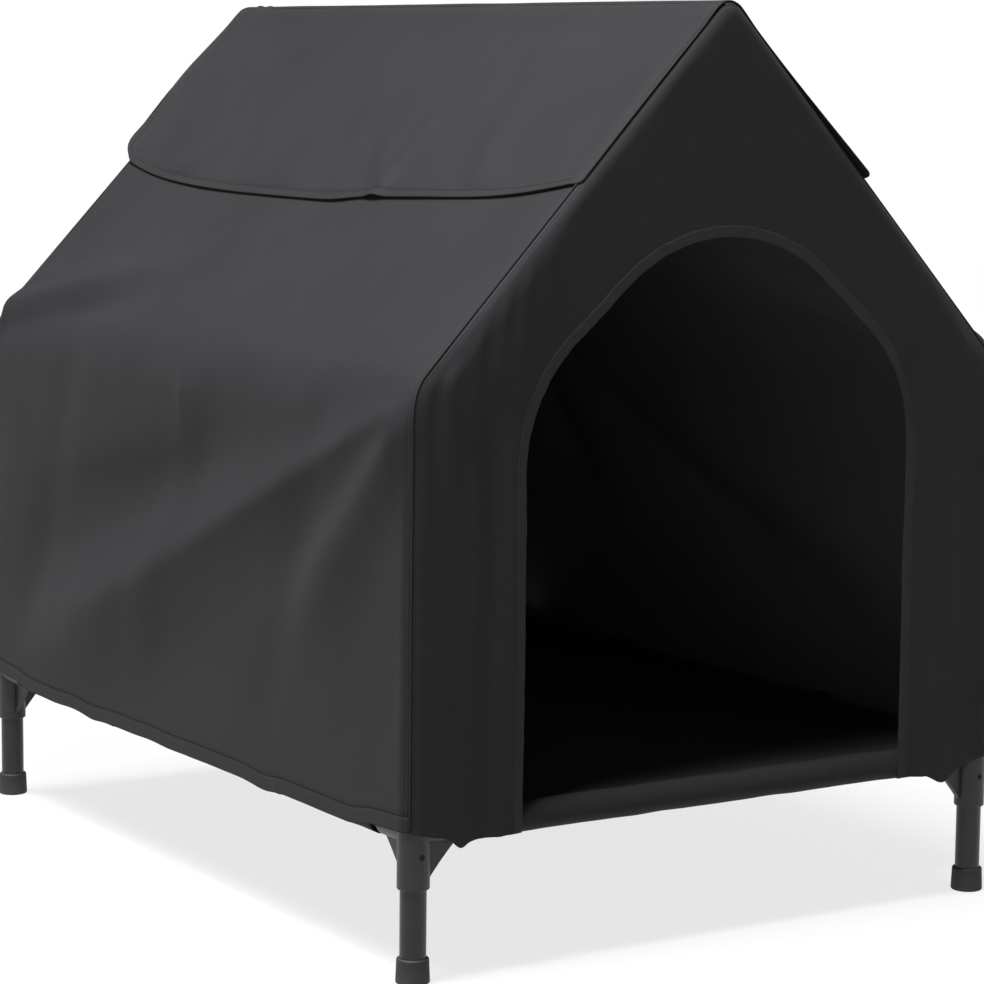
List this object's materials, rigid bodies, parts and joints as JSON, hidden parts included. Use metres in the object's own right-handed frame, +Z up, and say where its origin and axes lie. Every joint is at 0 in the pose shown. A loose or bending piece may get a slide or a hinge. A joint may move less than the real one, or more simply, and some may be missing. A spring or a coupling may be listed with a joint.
{
  "type": "steel pet house",
  "caption": "Tube-framed raised pet house with a sling mat, a fitted gabled cloth cover, an arched doorway and hinged roof flaps.",
  "frame": {"origin": "on the floor at the middle of the four legs", "axes": "+Z up, -Y out of the doorway, +Y along the ridge to the back, +X to the right seen from the doorway"},
  "size_m": [0.7024, 0.937, 0.8997],
  "materials": {
    "frame_tube": "satin black powder coat",
    "connector": "moulded, lightly textured",
    "foot_rubber": "matt rubber cap",
    "screw_steel": "blackened",
    "cover_cloth": "coated plain weave",
    "binding": "woven tape",
    "strap": "woven tape",
    "vent_mesh": "open mesh",
    "mat_cloth": "plain weave"
  },
  "bodies": {
    "house": {"leg_front_left": "frame_tube", "leg_front_right": "frame_tube", "leg_rear_left": "frame_tube", "leg_rear_right": "frame_tube", "gable_tube_front_left": "frame_tube", "gable_tube_front_right": "frame_tube", "gable_tube_rear_left": "frame_tube", "gable_tube_rear_right": "frame_tube", "rail_left": "frame_tube", "rail_right": "frame_tube", "rail_front": "frame_tube", "rail_rear": "frame_tube", "ridge_tube": "frame_tube", "connector_front_left": "connector", "connector_front_right": "connector", "connector_rear_left": "connector", "connector_rear_right": "connector", "apex_connector_front": "connector", "apex_connector_rear": "connector", "foot_front_left": "foot_rubber", "foot_front_right": "foot_rubber", "foot_rear_left": "foot_rubber", "foot_rear_right": "foot_rubber", "cover_front_panel": "cover_cloth", "cover_rear_panel": "cover_cloth", "cover_left_panel": "cover_cloth", "cover_right_panel": "cover_cloth", "ridge_band": "cover_cloth", "hem_straps_left": "strap", "hem_straps_right": "strap", "hem_straps_front": "strap", "hem_straps_rear": "strap", "roof_vent_mesh_left": "vent_mesh", "roof_vent_mesh_right": "vent_mesh", "door_binding": "binding", "leg_screws": "screw_steel", "bed_mat": "mat_cloth"},
    "flap_left": {"roof_flap_left": "cover_cloth"},
    "flap_right": {"roof_flap_right": "cover_cloth"}
  },
  "joints": [
    {"name": "flap_left_lift", "type": "hinge", "parent": "house", "child": "flap_left", "pos_m": [-0.00882, 0, 0.89692], "axis": [0, 1, 0], "range_deg": [0, 120]},
    {"name": "flap_right_lift", "type": "hinge", "parent": "house", "child": "flap_right", "pos_m": [0.00882, 0, 0.89692], "axis": [0, -1, 0], "range_deg": [0, 120]}
  ]
}
